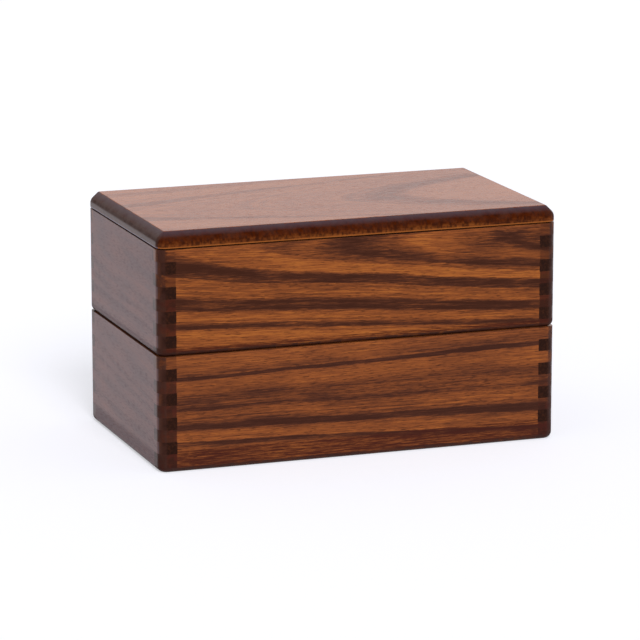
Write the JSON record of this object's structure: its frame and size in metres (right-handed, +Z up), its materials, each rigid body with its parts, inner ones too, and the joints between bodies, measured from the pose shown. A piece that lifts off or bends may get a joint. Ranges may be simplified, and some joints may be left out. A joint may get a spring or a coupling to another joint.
{
  "type": "bento box",
  "caption": "Stacking wooden bento box with finger-jointed corners, a loose flat lid and a lift-out divider.",
  "frame": {"origin": "centre of the box's footprint, on the surface that it stands on", "axes": "+Z up; X along the long side, with +X to the right seen from the front; the front faces -Y"},
  "size_m": [0.19, 0.1084, 0.109],
  "materials": {
    "wall_wood": "dark striped hardwood with a satin lacquer",
    "lid_wood": "dark hardwood with a satin lacquer",
    "inner_wood": "plain hardwood with a satin lacquer"
  },
  "bodies": {
    "lower_tier": {"lower_tier_front_board": "wall_wood", "lower_tier_back_board": "wall_wood", "lower_tier_left_board": "wall_wood", "lower_tier_right_board": "wall_wood", "lower_tier_floor_panel": "inner_wood"},
    "upper_tier": {"upper_tier_front_board": "wall_wood", "upper_tier_back_board": "wall_wood", "upper_tier_left_board": "wall_wood", "upper_tier_right_board": "wall_wood", "upper_tier_floor_panel": "inner_wood", "upper_tier_locating_board": "inner_wood"},
    "divider": {"divider": "inner_wood"},
    "lid": {"lid_top_board": "lid_wood", "lid_locating_board": "inner_wood"}
  },
  "joints": [
    {"name": "upper_tier_lift", "type": "slide", "parent": "lower_tier", "child": "upper_tier", "axis": [0, 0, 1], "range_m": [0, 0.08]},
    {"name": "lid_lift", "type": "slide", "parent": "upper_tier", "child": "lid", "axis": [0, 0, 1], "range_m": [0, 0.1]},
    {"name": "divider_lift", "type": "slide", "parent": "upper_tier", "child": "divider", "axis": [0, 0, 1], "range_m": [0, 0.05]}
  ],
  "couplings": [
    {"joint": "divider_lift", "follows": "lid_lift", "ratio": 0.5}
  ]
}
